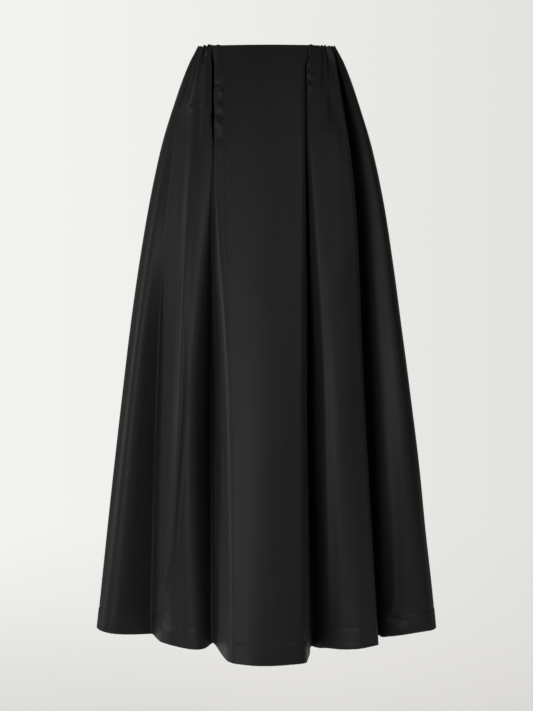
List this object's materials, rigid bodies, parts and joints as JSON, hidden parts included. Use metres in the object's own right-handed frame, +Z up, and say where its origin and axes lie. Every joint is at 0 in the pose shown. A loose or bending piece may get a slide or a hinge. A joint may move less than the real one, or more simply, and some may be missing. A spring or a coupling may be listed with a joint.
{
  "type": "taffeta maxi skirt",
  "caption": "Long black taffeta skirt, open at waist and hem, with a flat centre front between deep inverted folds and gathered sides and back.",
  "frame": {"origin": "centre of the waist opening, 15 mm below the waist edge", "axes": "+Z up through the waist opening, -Y towards the front of the skirt, +X to the right of someone who looks at the front"},
  "size_m": [0.628, 0.496, 1.0827],
  "materials": {
    "front_left_panel": "black taffeta with a soft sheen",
    "front_centre_panel": "black taffeta with a soft sheen",
    "front_right_panel": "black taffeta with a soft sheen",
    "back_panel": "black taffeta with a soft sheen"
  },
  "bodies": {
    "root": {"front_left_panel": "front_left_panel", "front_centre_panel": "front_centre_panel", "front_right_panel": "front_right_panel", "back_panel": "back_panel"}
  },
  "joints": []
}
